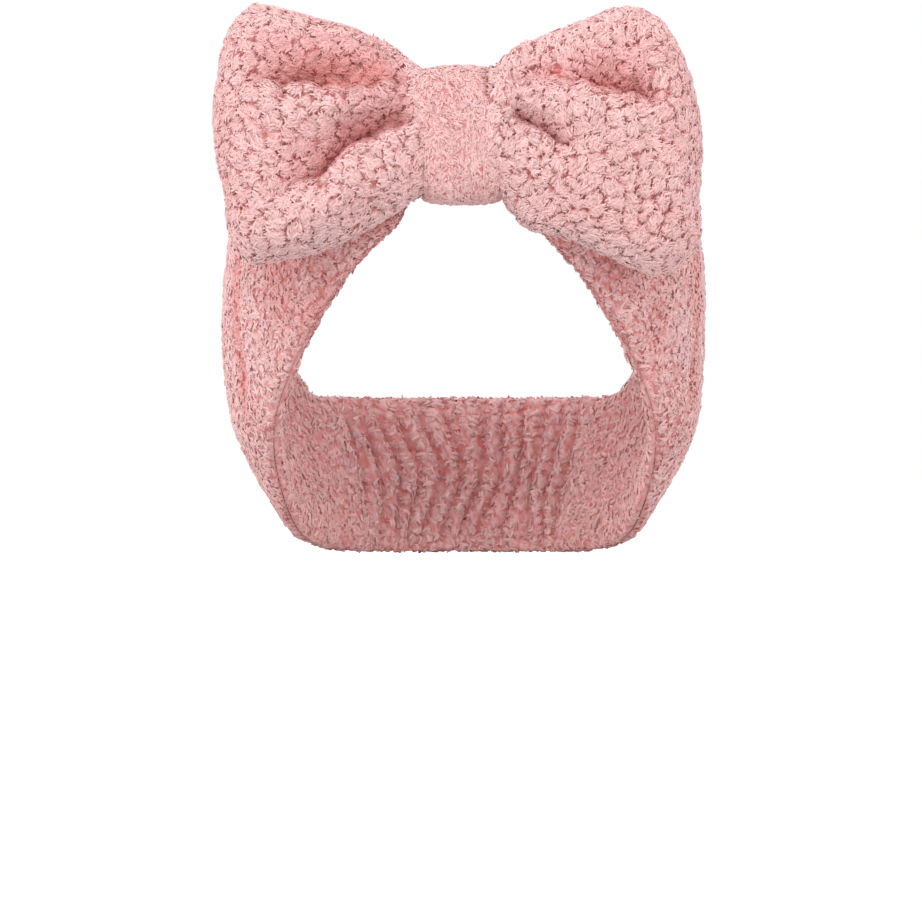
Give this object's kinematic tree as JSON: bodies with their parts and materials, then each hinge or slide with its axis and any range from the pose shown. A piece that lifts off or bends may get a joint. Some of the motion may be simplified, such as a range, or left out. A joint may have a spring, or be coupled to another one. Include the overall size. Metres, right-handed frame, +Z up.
{
  "type": "spa headband",
  "caption": "Plush stretch headband with a padded bow gathered by a wrapped knot, and an elasticated rear casing, worn round the head.",
  "frame": {"origin": "centre of the head opening", "axes": "+Z up with the wearer's head upright, -Y towards the front where the bow is, +X to the right of someone facing the bow"},
  "size_m": [0.1927, 0.2144, 0.2138],
  "materials": {
    "plush_band": "coral fleece, deep soft pile",
    "plush_lining": "coral fleece, flattened pile on the skin side",
    "plush_bow": "coral fleece, deep tufted pile",
    "sewing_thread": "polyester sewing thread",
    "woven_elastic": "woven elastic tape"
  },
  "bodies": {
    "front": {"band_face_left": "plush_band", "band_face_right": "plush_band", "band_lining_left": "plush_lining", "band_lining_right": "plush_lining", "band_upper_seam_left": "sewing_thread", "band_upper_seam_right": "sewing_thread", "band_lower_seam_left": "sewing_thread", "band_lower_seam_right": "sewing_thread", "front_centre_seam": "sewing_thread", "bow_waist": "plush_bow", "bow_gather_thread": "sewing_thread", "knot_wrap": "plush_bow", "knot_closing_stitch": "sewing_thread"},
    "rear": {"rear_casing_outer": "plush_band", "rear_casing_inner": "plush_lining", "rear_elastic": "woven_elastic", "casing_upper_seam": "sewing_thread", "casing_lower_seam": "sewing_thread", "elastic_tack_left": "sewing_thread", "elastic_tack_right": "sewing_thread", "rear_join_seam_left": "sewing_thread", "rear_join_seam_right": "sewing_thread"},
    "bow_left": {"bow_front_left": "plush_bow", "bow_back_left": "plush_bow", "bow_edge_seam_left": "sewing_thread"},
    "bow_right": {"bow_front_right": "plush_bow", "bow_back_right": "plush_bow", "bow_edge_seam_right": "sewing_thread"}
  },
  "joints": [
    {"name": "rear_stretch", "type": "slide", "parent": "front", "child": "rear", "axis": [0, 1, 0], "range_m": [0, 0.025], "stiffness_N_per_m": 60},
    {"name": "bow_left_flex", "type": "hinge", "parent": "front", "child": "bow_left", "pos_m": [-0.02535, -0.1023, 0.0635], "axis": [0, 0, 1], "range_deg": [0, 25], "stiffness_Nm_per_rad": 0.02},
    {"name": "bow_right_flex", "type": "hinge", "parent": "front", "child": "bow_right", "pos_m": [0.02535, -0.1023, 0.0635], "axis": [0, 0, -1], "range_deg": [0, 25], "stiffness_Nm_per_rad": 0.02}
  ]
}
